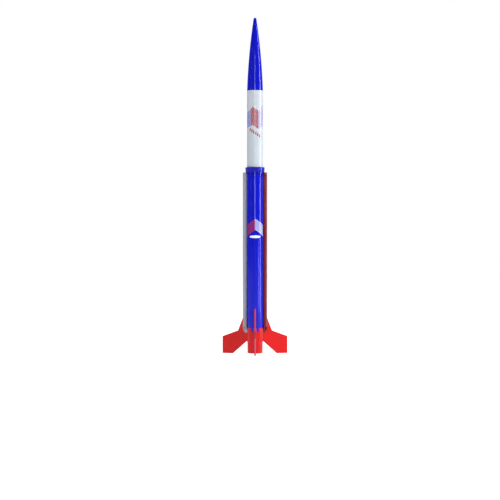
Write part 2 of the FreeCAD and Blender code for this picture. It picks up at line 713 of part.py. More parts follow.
os.makedirs("parts", exist_ok=True)
for piece in node_objects:
    piece.Shape.exportStep(f"parts/{piece.Label}.step")
    solids = len(piece.Shape.Solids)
    print(f"{piece.Label}: {solids} solid, {piece.Shape.Volume:.1f} mm3")
print(len(node_objects), "nodes")
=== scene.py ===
import math
import random

import bmesh
import bpy
from mathutils import Matrix, Vector


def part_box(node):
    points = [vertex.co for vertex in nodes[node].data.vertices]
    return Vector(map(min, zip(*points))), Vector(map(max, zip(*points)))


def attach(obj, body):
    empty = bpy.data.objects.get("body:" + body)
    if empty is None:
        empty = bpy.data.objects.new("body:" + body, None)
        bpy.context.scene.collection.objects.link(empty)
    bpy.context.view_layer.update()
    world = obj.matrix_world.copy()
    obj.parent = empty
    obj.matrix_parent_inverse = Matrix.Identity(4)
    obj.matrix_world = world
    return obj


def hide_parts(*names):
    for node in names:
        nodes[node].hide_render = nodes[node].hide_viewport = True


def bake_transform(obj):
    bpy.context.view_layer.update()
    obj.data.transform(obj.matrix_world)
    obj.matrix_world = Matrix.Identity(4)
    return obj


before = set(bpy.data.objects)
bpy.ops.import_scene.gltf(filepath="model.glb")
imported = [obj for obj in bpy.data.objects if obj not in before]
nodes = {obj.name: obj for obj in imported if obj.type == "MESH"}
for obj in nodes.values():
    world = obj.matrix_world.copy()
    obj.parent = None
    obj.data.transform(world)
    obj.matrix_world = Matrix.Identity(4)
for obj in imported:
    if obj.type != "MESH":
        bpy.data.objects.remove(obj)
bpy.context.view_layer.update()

# A slim model rocket standing on its fin feet. Metres, +Z up the body axis, the front is -Y.

MM = 0.001
FRONT = math.radians(-90)
ROCKET_MIDDLE = Vector((0, 0, 0.26))


# ================================================================ camera, light and floor

# How bright the white surround is to the rocket, and to the camera.
SURROUND_ON_ROCKET = 0.22
SURROUND_SEEN = 1.0

# Soft boxes: name, place, width, height and power in watts.
LIGHTS = (
    ("key", (2.3, -0.35, 0.5), 0.4, 1.8, 50),
    ("front_strip", (-0.04, -2.3, 0.66), 0.36, 0.86, 13),
    ("low_strip", (1.9, -1.55, 0.02), 0.3, 0.34, 3),
    ("fill", (-2.2, -1.3, 0.4), 0.06, 1.6, 2),
    ("overhead", (0, 0.4, 2.6), 2.2, 2.2, 30),
)


def make_camera():
    """Level with the lower third of the rocket, a little left of its axis, far off."""
    distance = 3.0
    seen_width = 0.78
    left = 7.8 * MM
    height = 162 * MM
    data = bpy.data.cameras.new("camera")
    data.sensor_width = 36.0
    data.lens = data.sensor_width * distance / seen_width
    camera = bpy.data.objects.new("camera", data)
    camera.location = (-left, -distance, height)
    camera.rotation_euler = (math.radians(90), 0, 0)
    bpy.context.scene.collection.objects.link(camera)
    bpy.context.scene.camera = camera


def area_light(name, place, width, height, power):
    """A rectangular softbox aimed at the middle of the rocket."""
    data = bpy.data.lights.new(name, "AREA")
    data.shape = "RECTANGLE"
    data.size = width
    data.size_y = height
    data.energy = power
    light = bpy.data.objects.new(name, data)
    light.location = place
    light.rotation_euler = (ROCKET_MIDDLE - Vector(place)).to_track_quat("-Z", "Y").to_euler()
    bpy.context.scene.collection.objects.link(light)


def make_surround():
    """A white world that lights the rocket less than it shows."""
    world = bpy.data.worlds.new("studio")
    world.use_nodes = True
    tree = world.node_tree
    background = tree.nodes["Background"]
    rays = tree.nodes.new("ShaderNodeLightPath")
    strength = tree.nodes.new("ShaderNodeMapRange")
    strength.inputs["To Min"].default_value = SURROUND_ON_ROCKET
    strength.inputs["To Max"].default_value = SURROUND_SEEN
    tree.links.new(rays.outputs["Is Camera Ray"], strength.inputs["Value"])
    tree.links.new(strength.outputs["Result"], background.inputs["Strength"])
    background.inputs["Color"].default_value = (1.0, 1.0, 1.0, 1.0)
    bpy.context.scene.world = world


def make_lights():
    """The surround and the soft boxes round the rocket."""
    make_surround()
    bpy.context.scene.view_settings.view_transform = "Standard"
    for name, place, width, height, power in LIGHTS:
        area_light(name, place, width, height, power)


def make_floor():
    """A round white floor that glows enough to be as white as the surround."""
    radius = 14.0
    grey = 0.80
    glow = 0.84
    bm = bmesh.new()
    bmesh.ops.create_circle(bm, cap_ends=True, radius=radius, segments=96)
    floor = new_object("floor", bm)
    surface = Surface("floor_paint", (grey, grey, grey, 1), rough=0.9, Emission_Color=(1, 1, 1, 1),
                      Emission_Strength=glow)
    surface.paint(floor)


# ================================================================ meshes

def new_object(name, shape):
    """A scene object with that name round a mesh or an open bmesh."""
    mesh = shape
    if isinstance(shape, bmesh.types.BMesh):
        mesh = bpy.data.meshes.new(name)
        shape.to_mesh(mesh)
        shape.free()
    made = bpy.data.objects.new(name, mesh)
    bpy.context.scene.collection.objects.link(made)
    return made


def smooth_object(name, vertices, faces):
    """A smooth-shaded scene object from lists of points and faces."""
    mesh = bpy.data.meshes.new(name)
    mesh.from_pydata(vertices, [], faces)
    mesh.shade_smooth()
    return new_object(name, mesh)


# ================================================================ materials

class Surface:
    """A node material round one Principled shader, with helpers for its procedural detail."""

    def __init__(self, name, color, rough=0.4, **sockets):
        self.material = bpy.data.materials.new(name)
        self.material.use_nodes = True
        self.tree = self.material.node_tree
        self.shader = self.tree.nodes["Principled BSDF"]
        self.color = color
        self.shader.inputs["Base Color"].default_value = color
        self.shader.inputs["Roughness"].default_value = rough
        self.material.diffuse_color = color
        for socket, value in sockets.items():
            self.shader.inputs[socket.replace("_", " ")].default_value = value

    def feed(self, socket, value):
        """Links another node's output to a socket, or sets the socket's own value."""
        if isinstance(value, bpy.types.NodeSocket):
            self.tree.links.new(value, socket)
        else:
            socket.default_value = value

    def add(self, kind, **settings):
        """A new node. Its own properties are set. Other settings are inputs, by name or by number as i0."""
        made = self.tree.nodes.new(kind)
        for key, value in settings.items():
            if hasattr(made, key):
                setattr(made, key, value)
            elif key[0] == "i" and key[1:].isdigit():
                self.feed(made.inputs[int(key[1:])], value)
            else:
                self.feed(made.inputs[key.replace("_", " ")], value)
        return made

    def math(self, operation, first, second=0.0):
        return self.add("ShaderNodeMath", operation=operation, i0=first, i1=second).outputs[0]

    def place(self, scale=(1, 1, 1), offset=(0, 0, 0)):
        """The point on the object, in metres, in the rocket's own frame."""
        point = self.add("ShaderNodeTexCoord").outputs["Object"]
        return self.add("ShaderNodeMapping", Vector=point, Scale=scale, Location=offset).outputs["Vector"]

    def noise(self, scale, detail=3.0, stretch=(1, 1, 1), distortion=0.0, roughness=0.5):
        """A cloudy pattern with that many spots to the metre. Its values bunch round a half."""
        made = self.add("ShaderNodeTexNoise", Vector=self.place(stretch), Scale=scale, Detail=detail,
                        Distortion=distortion, Roughness=roughness)
        return made.outputs["Fac"]

    def remap(self, pattern, span, values):
        """Runs between two values while the pattern runs over its span, and holds them beyond it."""
        made = self.add("ShaderNodeMapRange", Value=pattern, From_Min=span[0], From_Max=span[1],
                        To_Min=values[0], To_Max=values[1])
        return made.outputs["Result"]

    def tint(self, amount, other):
        """Blends the base colour towards another by an amount from 0 to 1."""
        now = self.shader.inputs["Base Color"]
        first = now.links[0].from_socket if now.links else self.color
        made = self.add("ShaderNodeMix", data_type="RGBA", i0=amount, i6=first, i7=other)
        self.tree.links.new(made.outputs[2], now)

    def shade(self, pattern, span, amounts, by):
        """Blends in the colour scaled by a factor, in amounts that follow the pattern over its span."""
        self.tint(self.remap(pattern, span, amounts), scaled(self.color, by))

    def roughen(self, pattern, span, values):
        """Lets the roughness follow the pattern over its span."""
        self.feed(self.shader.inputs["Roughness"], self.remap(pattern, span, values))

    def bump(self, height, strength, distance):
        """Adds a height to the surface. Distance is in metres."""
        now = self.shader.inputs["Normal"]
        made = self.add("ShaderNodeBump", Height=height, Strength=strength, Distance=distance)
        if now.links:
            self.tree.links.new(now.links[0].from_socket, made.inputs["Normal"])
        self.tree.links.new(made.outputs["Normal"], now)

    def paint(self, *objects):
        for thing in objects:
            thing.data.materials.clear()
            thing.data.materials.append(self.material)


def linear(level):
    """A display level, 0 to 255, as linear light."""
    if level > 10:
        return ((level / 255 + 0.055) / 1.055) ** 2.4
    return level / 255 / 12.92


def srgb(red, green, blue):
    """A display colour, 0 to 255, as linear RGBA."""
    return (linear(red), linear(green), linear(blue), 1.0)


def scaled(color, by):
    """The colour made darker, or lighter by a factor above 1."""
    return (color[0] * by, color[1] * by, color[2] * by, 1.0)


BLUE = srgb(12, 20, 186)
NOSE_BLUE = srgb(10, 18, 182)
# The collar's blue, darkened to paint the shade on its narrowing band.
SHADED_COLLAR_BLUE = srgb(8, 12, 158)
WHITE = srgb(188, 196, 205)
RED = srgb(198, 4, 4)
# The red side tube's red, darkened to paint the shade it lies in.
SHADED_TUBE_RED = srgb(116, 24, 40)
# A pale pink that paints a highlight on the front fin's edge.
EDGE_HIGHLIGHT_PINK = srgb(196, 72, 104)
# The white side tube's white, darkened to grey to paint the shade it lies in.
SHADED_TUBE_WHITE = srgb(150, 152, 166)
LAVENDER = srgb(120, 128, 204)
PALE_LAVENDER = srgb(160, 154, 208)
# The print's crimson ink, made darker than the ink itself to paint the shade on it.
SHADED_CRIMSON = srgb(160, 22, 48)
INK_WHITE = srgb(232, 232, 240)
YELLOW = srgb(236, 204, 36)
PLUG_WHITE = srgb(220, 220, 222)
PLUG_YELLOW = srgb(232, 190, 40)
KRAFT = srgb(178, 140, 98)
PALE_CARD = srgb(214, 206, 190)
CASING_CARD = srgb(192, 156, 114)
TAPE_BUFF = srgb(226, 212, 164)
CLAY = srgb(176, 166, 152)
POWDER_BLACK = srgb(34, 34, 36)
DELAY_GREY = srgb(110, 106, 100)
PYROGEN_BROWN = srgb(58, 50, 50)
BRASS = srgb(214, 178, 96)
STEEL = srgb(196, 196, 200)
ELASTIC_WHITE = srgb(226, 222, 208)
THREAD_WHITE = srgb(232, 230, 222)
TISSUE_WHITE = srgb(226, 228, 214)
# Glue beads coloured a dark blue: painted shade in the creases beside the side tubes and lugs.
GLUE_SHADE_BLUE = srgb(60, 64, 150)

# The low reflectance of the rocket's gloss, and the depth of the finest relief.
GLOSS = 0.2
SKIN = 0.1 * MM


def film_on_paper(name, color, centre=(0, 0), pitch=34 * MM, rough=0.05):
    """Glossy film on a spiral-wound paper tube: the winding's seam shows as a faint helical groove."""
    made = Surface(name, color, rough, Specular_IOR_Level=GLOSS)
    parts = made.add("ShaderNodeSeparateXYZ", Vector=made.place(offset=(-centre[0], -centre[1], 0))).outputs
    turn = made.math("DIVIDE", made.math("ARCTAN2", parts["Y"], parts["X"]), 2 * math.pi)
    wound = made.math("FRACT", made.math("ADD", made.math("DIVIDE", parts["Z"], pitch), turn))
    seam = made.math("ABSOLUTE", made.math("SUBTRACT", wound, 0.5))
    made.bump(made.remap(seam, span=(0.0, 0.018), values=(0.0, 1.0)), strength=0.3, distance=SKIN)
    made.bump(made.noise(420, detail=2), strength=0.04, distance=SKIN)
    blotches = made.noise(60, detail=4, stretch=(1, 1, 0.3))
    made.shade(blotches, span=(0.35, 0.75), amounts=(0.0, 0.16), by=0.8)
    made.roughen(made.noise(35, detail=3), span=(0.3, 0.7), values=(rough - 0.02, rough + 0.05))
    return made


def moulded(name, color, rough=0.09):
    """Glossy moulded plastic: a fine skin, faint flow marks and slightly uneven gloss."""
    made = Surface(name, color, rough, Specular_IOR_Level=GLOSS)
    made.bump(made.noise(700, detail=2), strength=0.05, distance=SKIN)
    flow = made.noise(26, detail=5, stretch=(1, 1, 0.25), distortion=0.6)
    made.shade(flow, span=(0.3, 0.75), amounts=(0.0, 0.2), by=0.72)
    made.roughen(made.noise(48, detail=4), span=(0.3, 0.75), values=(rough - 0.03, rough + 0.06))
    return made


def front_edge_highlight(surface, color):
    """The narrow faces that look to the front are tinted pale pink: a painted highlight along the fin's edge.
    """
    normal = surface.add("ShaderNodeTexCoord").outputs["Normal"]
    depth = surface.add("ShaderNodeSeparateXYZ", Vector=normal).outputs["Y"]
    surface.tint(surface.remap(depth, span=(-0.2, -0.4), values=(0.0, 0.85)), color)
    return surface


def card(name, color, rough=0.85):
    """Raw paperboard: fibres and speckle."""
    made = Surface(name, color, rough)
    fibres = made.noise(900, detail=4, stretch=(1, 1, 0.12), distortion=0.4)
    made.shade(fibres, span=(0.35, 0.7), amounts=(0.0, 0.55), by=0.7)
    made.shade(made.noise(2600, detail=2), span=(0.62, 0.7), amounts=(0.0, 0.5), by=0.5)
    made.bump(fibres, strength=0.3, distance=SKIN)
    return made


def tape(name, color):
    """Creped masking tape: fine ridges across it."""
    made = Surface(name, color, rough=0.6)
    ridges = made.noise(1500, detail=3, stretch=(0.2, 0.2, 1.6), distortion=0.5)
    made.bump(ridges, strength=0.6, distance=1.5 * SKIN)
    made.shade(ridges, span=(0.4, 0.7), amounts=(0.0, 0.4), by=0.75)
    return made


def pressed(name, color, grain, rough=0.9):
    """A pressed powder or clay: grains of a few shades, and pits."""
    made = Surface(name, color, rough)
    specks = made.noise(grain, detail=5, roughness=0.7)
    made.shade(specks, span=(0.45, 0.7), amounts=(0.0, 0.8), by=1.7)
    made.shade(made.noise(grain * 0.4, detail=3), span=(0.5, 0.75), amounts=(0.0, 0.7), by=0.5)
    made.bump(specks, strength=0.8, distance=3 * SKIN)
    return made


def metal(name, color, rough, stretch=(1, 1, 0.08)):
    """Bright metal with fine drawing marks and slight tarnish."""
    made = Surface(name, color, rough, Metallic=1.0)
    marks = made.noise(1800, detail=3, stretch=stretch)
    made.bump(marks, strength=0.12, distance=SKIN)
    made.roughen(marks, span=(0.3, 0.7), values=(rough - 0.06, rough + 0.12))
    made.shade(made.noise(160, detail=4), span=(0.5, 0.8), amounts=(0.0, 0.5), by=0.55)
    return made


def woven(name, color, grain):
    """Braided or twisted thread: short slanting strands, with painted shade in the grooves between them."""
    made = Surface(name, color, rough=0.85, Sheen_Weight=0.2)
    strands = made.noise(grain, detail=2, stretch=(1, 1, 0.45), distortion=0.2)
    made.bump(strands, strength=0.7, distance=2 * SKIN)
    # Painted shade: darker in the grooves between strands.
    made.shade(strands, span=(0.35, 0.65), amounts=(0.5, 0.0), by=0.6)
    return made


def printed(name, color):
    """Ink under clear film."""
    made = Surface(name, color, rough=0.22, IOR=1.48)
    made.shade(made.noise(3000, detail=2), span=(0.5, 0.75), amounts=(0.0, 0.15), by=0.8)
    made.bump(made.noise(500, detail=2), strength=0.04, distance=SKIN)
    return made


def thin_film(name, color):
    """Thin coloured plastic film: creases with painted shade in their hollows, gloss, and light through it.
    """
    made = Surface(name, color, rough=0.28, IOR=1.45, Transmission_Weight=0.08)
    creases = made.noise(140, detail=5, stretch=(1, 1, 0.5), distortion=0.8, roughness=0.6)
    made.bump(creases, strength=0.6, distance=9 * SKIN)
    made.bump(made.noise(620, detail=3, stretch=(1, 1, 0.2)), strength=0.25, distance=3 * SKIN)
    # Painted shade: darker where the creases sink.
    made.shade(creases, span=(0.35, 0.62), amounts=(0.55, 0.0), by=0.72)
    made.roughen(creases, span=(0.3, 0.7), values=(0.2, 0.45))
    return made


def tissue(name, color):
    """Flameproof tissue: crinkled and soft, with painted shade in the hollows of its creases."""
    made = Surface(name, color, rough=0.95)
    creases = made.noise(220, detail=6, distortion=1.2, roughness=0.65)
    made.bump(creases, strength=0.9, distance=12 * SKIN)
    # Painted shade: darker where the creases sink.
    made.shade(creases, span=(0.4, 0.6), amounts=(0.6, 0.0), by=0.72)
    return made


def paint_side_tubes():
    """Film on paper, wound round each side tube's own axis, in colours darkened to paint the shade between
    the tubes.
    """
    for label, color in (("side_tube_white", SHADED_TUBE_WHITE), ("side_tube_red", SHADED_TUBE_RED)):
        low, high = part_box(label)
        centre = ((low.x + high.x) / 2, (low.y + high.y) / 2)
        film_on_paper(label + "_film", color, centre, pitch=22 * MM, rough=0.1).paint(nodes[label])


def paint_cad():
    """A finish for every CAD node that is shown as it is."""
    paint_side_tubes()
    finishes = [
        (film_on_paper("blue_film", BLUE), ["lower_body_tube"]),
        (film_on_paper("white_film", WHITE, rough=0.12), ["upper_body_tube"]),
        (moulded("blue_nose", NOSE_BLUE, rough=0.08), ["nose_cone"]),
        (moulded("blue_plastic", SHADED_COLLAR_BLUE), ["body_collar"]),
        (moulded("red_plastic", RED, rough=0.1), ["fin_can", "fin_left", "fin_right"]),
        (front_edge_highlight(moulded("front_fin_plastic", RED, rough=0.1), EDGE_HIGHLIGHT_PINK), ["fin_front"]),
        (moulded("plug_plastic", PLUG_WHITE, rough=0.4), ["side_tube_plugs", "nose_cone_plug"]),
        (moulded("igniter_plastic", PLUG_YELLOW, rough=0.4), ["igniter_plug"]),
        (card("kraft_card", KRAFT), ["tube_coupler", "motor_tube", "thrust_ring", "centering_ring_aft",
                                     "centering_ring_forward"]),
        (card("pale_card", PALE_CARD), ["launch_lug_lower", "launch_lug_upper", "shock_cord_mount"]),
        (card("motor_card", CASING_CARD, rough=0.7), ["motor_casing"]),
        (tape("masking_tape", TAPE_BUFF), ["motor_tape"]),
        (pressed("pressed_clay", CLAY, grain=1500), ["motor_nozzle", "motor_end_cap"]),
        (pressed("black_powder", POWDER_BLACK, grain=2600), ["propellant_grain", "ejection_charge"]),
        (pressed("delay_mix", DELAY_GREY, grain=2000), ["delay_grain"]),
        (pressed("pyrogen", PYROGEN_BROWN, grain=3000, rough=0.55), ["igniter_bead"]),
        (metal("brass", BRASS, rough=0.22, stretch=(0.3, 0.3, 1.5)), ["swivel_barrel"]),
        (metal("steel", STEEL, rough=0.25), ["snap_hook", "nose_weight", "igniter_leads"]),
    ]
    for surface, names in finishes:
        surface.paint(*[nodes[name] for name in names])


# ================================================================ stickers

# The two faces of the stickers' film. Distances round the tube are measured on the outer one.
FILM_INSIDE = 12.41 * MM
FILM_OUTSIDE = 12.5 * MM

# Slivers of print lower than this are left out.
THINNEST_PRINT = 0.05 * MM

# The slanting bars of a ribbon, in millimetres: from one to the next, and the height of each.
BAR_PITCH = 1.8
BAR_HEIGHT = 1.25
BAR_STEPS = 28

# The upper sticker's ribbons: top edge and bottom edge as (distance round the tube, height) points
# in millimetres, the rise of the bars per millimetre, and the ink.
RIBBONS = (
    ([(-16.8, 375.0), (-7.6, 380.0)], [(-16.8, 352.0), (-7.6, 354.5)], 0.5, 0),
    ([(-7.3, 380.4), (-4.4, 385.0), (5.3, 378.2)], [(-7.3, 354.5), (-4.4, 356.5), (5.3, 350.5)], -0.5, 1),
    ([(5.6, 378.0), (16.8, 389.2)], [(5.6, 350.8), (16.8, 356.5)], 0.6, 2),
)


def on_tube(radius, along, height):
    """The point at that distance round the tube from its front, and that height."""
    angle = FRONT + along / FILM_OUTSIDE
    return (radius * math.cos(angle), radius * math.sin(angle), height)


def band(bm, low, high, start, end, steps, ink):
    """A thin curved patch of film on the tube between two height functions, closed on all sides."""
    rings = []
    for i in range(steps + 1):
        along = start + (end - start) * i / steps
        z0, z1 = low(along), high(along)
        if z1 - z0 < THINNEST_PRINT:
            continue
        corners = ((FILM_INSIDE, z0), (FILM_OUTSIDE, z0), (FILM_OUTSIDE, z1), (FILM_INSIDE, z1))
        rings.append([bm.verts.new(on_tube(radius, along, z)) for radius, z in corners])
    if len(rings) < 2:
        return
    made = [bm.faces.new(list(reversed(rings[0]))), bm.faces.new(rings[-1])]
    for first, second in zip(rings, rings[1:]):
        for k in range(4):
            made.append(bm.faces.new([first[k], first[(k + 1) % 4], second[(k + 1) % 4], second[k]]))
    for face in made:
        face.material_index = ink


def profile(*points):
    """A height that runs straight between (distance round the tube, height) points, in millimetres."""
    def height(along):
        at = along / MM
        for (s0, z0), (s1, z1) in zip(points, points[1:]):
            if at <= s1 or (s1, z1) == points[-1]:
                return MM * (z0 + (z1 - z0) * (at - s0) / (s1 - s0))
    return height


def shifted(height, by):
    """The same height function, moved up by a distance."""
    def moved(along):
        return height(along) + by
    return moved


def bar(bm, line, lower, upper, start, end, ink):
    """One slanting bar of print that starts on a line, cut off by a panel's bottom and top edges."""
    def foot(along):
        return max(lower(along), line(along))

    def head(along):
        return min(upper(along), line(along) + BAR_HEIGHT * MM)

    band(bm, foot, head, start * MM, end * MM, BAR_STEPS, ink)


def striped_panel(bm, top, bottom, rise, ink):
    """Slanting bars that fill the shape between a top and a bottom edge."""
    start, end = top[0][0], top[-1][0]
    lowest = min(z for _, z in bottom)
    slant = abs(rise) * (end - start)
    tall = max(z for _, z in top) - lowest + slant
    for k in range(int(2 * tall / BAR_PITCH)):
        foot = lowest - slant + k * BAR_PITCH
        line = profile((start, foot), (end, foot + rise * (end - start)))
        bar(bm, line, profile(*bottom), profile(*top), start, end, ink)


def slanting_dashes(bm, ink):
    """A row of six short slanting dashes that steps down round the tube. Millimetres."""
    first_start, first_foot = -9.0, 349.6
    step, drop = 3.1, 1.95
    width, slant, below, above = 1.9, 1.2, 3.2, 1.2
    for k in range(6):
        start = first_start + step * k
        end = start + width
        foot = first_foot - drop * k
        low = profile((start, foot - below), (end, foot - below + slant))
        high = profile((start, foot + above), (end, foot + above + slant))
        band(bm, low, high, start * MM, end * MM, steps=4, ink=ink)


def chevrons(bm, left_ink, right_ink):
    """Five stacked chevrons, broad to the left of the front and narrow to the right. Millimetres."""
    first_peak, pitch, drop = 210.0, 3.6, 10.5
    reach, gap = 16.3, 0.1
    broad, narrow = 2.5, 1.45
    for k in range(5):
        peak = first_peak - pitch * k
        left = profile((-reach, peak - drop), (-gap, peak))
        right = profile((gap, peak), (reach, peak - drop))
        band(bm, shifted(left, -broad * MM), shifted(left, -gap * MM), -reach * MM, -gap * MM,
             steps=24, ink=left_ink)
        band(bm, shifted(right, -narrow * MM), right, gap * MM, reach * MM, steps=24, ink=right_ink)


def lozenge(bm, ink):
    """A plain oval across the front. Millimetres."""
    half_width, half_height, middle = 9.4, 2.1, 182.6

    def bulge(along):
        return half_height * math.sqrt(max(0.0, 1 - (along / MM / half_width) ** 2))

    def low(along):
        return (middle - bulge(along)) * MM

    def high(along):
        return (middle + bulge(along)) * MM

    band(bm, low, high, -half_width * MM, half_width * MM, steps=40, ink=ink)


def finish_sticker(bm, name, inks, node):
    """Turns the bands into one piece that stands for the sticker's node."""
    bmesh.ops.recalc_face_normals(bm, faces=bm.faces)
    made = new_object(name, bm)
    for surface in inks:
        made.data.materials.append(surface.material)
    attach(made, "airframe")
    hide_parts(node)


def make_upper_sticker(inks):
    """Three folded ribbons of slanting bars, and a short row of slanting dashes below them."""
    bm = bmesh.new()
    for top, bottom, rise, ink in RIBBONS:
        striped_panel(bm, top, bottom, rise, ink)
    slanting_dashes(bm, 1)
    finish_sticker(bm, "upper_sticker_print", inks, "upper_sticker")


def make_lower_sticker(inks):
    """Five stacked chevrons, red to the left and white to the right, over a plain white lozenge."""
    bm = bmesh.new()
    chevrons(bm, 0, 1)
    lozenge(bm, 1)
    finish_sticker(bm, "lower_sticker_print", inks, "lower_sticker")


# ================================================================ glue and moulded fillets

# The lower tube's outside, and the length of one step up a strip. Millimetres.
BODY_RADIUS = 12.4
STRIP_STEP = 6


def corner_strips(name, sections):
    """Straight three-sided strips up the body, one for each (angle, corners, low, high), in millimetres."""
    vertices, faces = [], []
    for angle, corners, low, high in sections:
        turn = Matrix.Rotation(math.radians(angle), 3, "Z")
        base = len(vertices)
        steps = max(1, round((high - low) / STRIP_STEP))
        for i in range(steps + 1):
            z = low + (high - low) * i / steps
            vertices += [turn @ Vector((x, y, z)) * MM for x, y in corners]
        for i in range(steps):
            for k in range(3):
                a, b = base + 3 * i + k, base + 3 * i + (k + 1) % 3
                faces.append((a, b, b + 3, a + 3))
        last = base + 3 * steps
        faces += [(base + 2, base + 1, base), (last, last + 1, last + 2)]
    mesh = bpy.data.meshes.new(name)
    mesh.from_pydata(vertices, [], faces)
    bm = bmesh.new()
    bm.from_mesh(mesh)
    bmesh.ops.recalc_face_normals(bm, faces=bm.faces)
    bm.to_mesh(mesh)
    bm.free()
    made = new_object(name, mesh)
    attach(made, "airframe")
    return made


def crevice(offset, radius, side):
    """The corners of a bead of glue between the body and a tube with its axis at that offset. Millimetres."""
    proud, sunk = 0.03, 0.01
    spread = math.radians(22)
    reach = radius * math.sin(spread) / BODY_RADIUS
    body, tube = BODY_RADIUS - sunk, radius - sunk
    return [(BODY_RADIUS + proud, 0.0),
            (body * math.cos(reach), side * body * math.sin(reach)),
            (offset - tube * math.cos(spread), side * tube * math.sin(spread))]


def make_glue(surface):
    """Beads of glue along both sides of the two side tubes and the two launch lugs, coloured dark to paint
    the shade in those creases. Millimetres.
    """
    tube_offset, tube_radius, tube_low, tube_high = 15.65, 3.2, 45.0, 277.5
    lug_offset, lug_radius, lug_length, lug_end = 14.85, 2.4, 38.0, 1.0
    sections = []
    for angle in (0, 180):
        for side in (-1, 1):
            sections.append((angle, crevice(tube_offset, tube_radius, side), tube_low, tube_high))
    for foot in (92, 222):
        for side in (-1, 1):
            corners = crevice(lug_offset, lug_radius, side)
            sections.append((90, corners, foot + lug_end, foot + lug_length - lug_end))
    glue = corner_strips("glue_fillets", sections)
    surface.paint(glue)


def make_root_fillets(surface):
    """The moulded corner between each fin and the tail can. Millimetres."""
    inner, along_fin, round_can = (12.3, 1.28), (13.3, 1.29), (12.17, 2.3)
    low, high = 21.9, 40.4
    sections = []
    for angle in (-90, 30, 150):
        for side in (-1, 1):
            corners = [(x, y * side) for x, y in (inner, along_fin, round_can)]
            sections.append((angle, corners, low, high))
    fillets = corner_strips("fin_root_fillets", sections)
    surface.paint(fillets)


# ================================================================ lines and rolls

# How finely the smooth line between two points of a route, and one turn of a helix, are worked out.
FINE_STEPS = 16
HELIX_STEPS = 24

# A rope's lobes, as shares of its radius: their crown, and the depth of the grooves between them.
LOBE_CROWN = 1.06
LOBE_DEPTH = 0.07

# A rolled sheet: points per turn, the numbers of creases round it and how far they twist on their way up,
# and the waves of its two cut edges.
ROLL_STEPS = 36
CREASE_COUNTS = (2, 3, 5, 7, 11)
CREASE_TWIST = 4
EDGE_WAVE = 0.66 * MM
EDGE_WAVES_ROUND = 1.7
EDGE_WAVES_OUT = 900


def placed(*points):
    """Points given in millimetres."""
    return [Vector(point) * MM for point in points]


def polar(radius, angle, height):
    """The point at that radius and angle round the body axis."""
    return Vector((radius * math.cos(angle), radius * math.sin(angle), height))


def smooth_line(points):
    """A finely stepped smooth curve through the points."""
    padded = [points[0] * 2 - points[1], *points, points[-1] * 2 - points[-2]]
    fine = []
    for a, b, c, d in zip(padded, padded[1:], padded[2:], padded[3:]):
        for i in range(FINE_STEPS):
            t = i / FINE_STEPS
            fine.append(0.5 * ((2 * b) + (c - a) * t + (2 * a - 5 * b + 4 * c - d) * t * t
                               + (3 * b - a - 3 * c + d) * t ** 3))
    fine.append(points[-1])
    return fine


def resampled(points, spacing):
    """A smooth line through the points with even steps, and its length."""
    fine = smooth_line(points)
    lengths = [0.0]
    for a, b in zip(fine, fine[1:]):
        lengths.append(lengths[-1] + (b - a).length)
    count = max(2, round(lengths[-1] / spacing))
    even, at = [], 0
    for i in range(count + 1):
        want = lengths[-1] * i / count
        while at < len(fine) - 2 and lengths[at + 1] < want:
            at += 1
        step = max(lengths[at + 1] - lengths[at], 1e-12)
        even.append(fine[at].lerp(fine[at + 1], (want - lengths[at]) / step))
    return even, lengths[-1]


def rope(name, line, radius, sides, twist):
    """A closed tube along the line, with small lengthwise lobes that turn with it as strands do."""
    vertices, faces = [], []
    across = (line[1] - line[0]).orthogonal().normalized()
    for i, point in enumerate(line):
        ahead = (line[min(i + 1, len(line) - 1)] - line[max(i - 1, 0)]).normalized()
        across = (across - ahead * across.dot(ahead)).normalized()
        other = ahead.cross(across)
        for k in range(sides):
            turned = 2 * math.pi * k / sides + twist * i
            swell = radius * (LOBE_CROWN - LOBE_DEPTH * (k % 2))
            vertices.append(point + (across * math.cos(turned) + other * math.sin(turned)) * swell)
    for i in range(len(line) - 1):
        for k in range(sides):
            a, b = i * sides + k, i * sides + (k + 1) % sides
            faces.append((a, b, b + sides, a + sides))
    last = (len(line) - 1) * sides
    faces.append(tuple(reversed(range(sides))))
    faces.append(tuple(range(last, last + sides)))
    return smooth_object(name, vertices, faces)


def helix(radius, first_height, last_height, first_angle, turns):
    """Points wound round the body axis, from one height to another."""
    steps = max(2, int(abs(turns) * HELIX_STEPS))
    made = []
    for i in range(steps + 1):
        t = i / steps
        angle = first_angle + 2 * math.pi * turns * t
        made.append(polar(radius, angle, first_height + (last_height - first_height) * t))
    return made


def turn_in(angle, bend, high, first_radius, last_radius):
    """A quarter bend inside the tube, from straight down to level, and its last angle. Millimetres."""
    steps = 8
    made = []
    for i in range(steps + 1):
        swing = math.pi / 2 * i / steps
        radius = first_radius + (last_radius - first_radius) * math.sin(swing)
        at = angle + bend * (1 - math.cos(swing)) / ((first_radius + last_radius) / 2)
        made.append(polar(radius, at, high - bend * math.sin(swing)) * MM)
    return made, at


def half_turn(angle, first_radius, last_radius, height):
    """Half a turn of a flat spiral, without its two end points. Millimetres."""
    steps = 12
    made = []
    for i in range(1, steps):
        radius = first_radius + (last_radius - first_radius) * i / steps
        made.append(polar(radius, angle + math.pi * i / steps, height) * MM)
    return made


